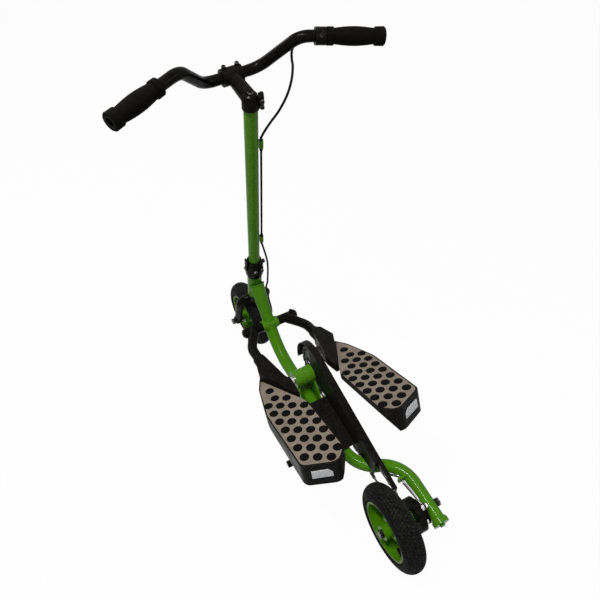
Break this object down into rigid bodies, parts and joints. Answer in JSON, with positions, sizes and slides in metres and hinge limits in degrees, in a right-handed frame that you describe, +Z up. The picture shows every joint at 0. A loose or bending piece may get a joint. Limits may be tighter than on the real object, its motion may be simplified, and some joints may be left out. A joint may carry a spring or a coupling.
{
  "type": "stepper bike",
  "caption": "Small stand-up two-wheeler driven by two hinged foot platforms over a crank and chain, with a tall steering column and riser handlebar, parked on its side stand.",
  "frame": {"origin": "on the floor under the middle of the parked bike's box", "axes": "+X to the front of the bike, +Y to its left, +Z up; the bike leans to its left onto its side stand"},
  "size_m": [0.9597, 0.5488, 0.9626],
  "materials": {
    "green_paint": "gloss powder coat",
    "black_paint": "satin black powder coat",
    "bright_steel": "zinc plated",
    "chain_steel": "oiled",
    "tyre_rubber": "matt",
    "grip_rubber": "matt",
    "moulded_black": "fine moulded grain",
    "pad_rubber": "grained grip tape",
    "reflector_silver": "prismatic"
  },
  "bodies": {
    "frame": {"main_frame": "green_paint", "headset_cups": "black_paint", "rear_arm": "green_paint", "arm_cap": "green_paint", "rear_axle": "black_paint", "brake_cover": "black_paint", "brake_arm": "black_paint", "brake_wire": "bright_steel", "rear_sprocket": "chain_steel", "pivot_shaft": "black_paint", "chain": "chain_steel", "chain_guard": "moulded_black", "cable_low": "grip_rubber"},
    "steering": {"fork": "black_paint", "front_axle": "black_paint", "clamp_collar": "black_paint", "clamp_bolts": "bright_steel", "column": "green_paint", "column_guides": "green_paint", "stem": "black_paint", "handlebar": "black_paint", "left_grip": "grip_rubber", "right_grip": "grip_rubber", "brake_lever": "black_paint", "cable_top": "grip_rubber"},
    "front_wheel": {"front_tyre": "tyre_rubber", "front_rim": "green_paint"},
    "rear_wheel": {"rear_tyre": "tyre_rubber", "rear_rim": "green_paint"},
    "left_step": {"left_arm": "black_paint", "left_platform": "moulded_black", "left_pad": "pad_rubber", "left_track": "bright_steel", "left_reflector": "reflector_silver"},
    "right_step": {"right_arm": "black_paint", "right_platform": "moulded_black", "right_pad": "pad_rubber", "right_track": "bright_steel", "right_reflector": "reflector_silver"},
    "cranks": {"crank_axle": "bright_steel", "chainring": "chain_steel", "left_crank": "black_paint", "right_crank": "black_paint", "rollers": "moulded_black"},
    "stand": {"side_stand": "black_paint", "stand_tip": "grip_rubber"}
  },
  "joints": [
    {"name": "steering", "type": "hinge", "parent": "frame", "child": "steering", "pos_m": [0.31415, -0.05185, 0.24214], "axis": [-0.2284, 0.0764, 0.9706], "range_deg": [-64, 56]},
    {"name": "front_wheel_spin", "type": "hinge", "parent": "steering", "child": "front_wheel", "pos_m": [0.37855, -0.06081, 0.10108], "axis": [-0.0679, 0.9932, -0.0941], "continuous": true},
    {"name": "rear_wheel_spin", "type": "hinge", "parent": "frame", "child": "rear_wheel", "pos_m": [-0.37838, -0.06293, 0.10127], "axis": [0, 0.9969, -0.0785], "continuous": true},
    {"name": "left_platform_hinge", "type": "hinge", "parent": "frame", "child": "left_step", "pos_m": [0.22662, -0.05575, 0.19248], "axis": [0, 0.9969, -0.0785], "range_deg": [-9.8, 14.1]},
    {"name": "right_platform_hinge", "type": "hinge", "parent": "frame", "child": "right_step", "pos_m": [0.22662, -0.05575, 0.19248], "axis": [0, 0.9969, -0.0785], "range_deg": [-14.1, 9.8]},
    {"name": "crank_spin", "type": "hinge", "parent": "frame", "child": "cranks", "pos_m": [0.02562, -0.05638, 0.18451], "axis": [0, 0.9969, -0.0785], "range_deg": [-59.88, 86.11]},
    {"name": "stand_fold", "type": "hinge", "parent": "frame", "child": "stand", "pos_m": [-0.11638, -0.03598, 0.09965], "axis": [0, 0.8688, 0.4952], "range_deg": [0, 95]}
  ],
  "couplings": [
    {"joint": "right_platform_hinge", "follows": "left_platform_hinge", "ratio": -1},
    {"joint": "crank_spin", "follows": "left_platform_hinge", "ratio": 6.1}
  ]
}
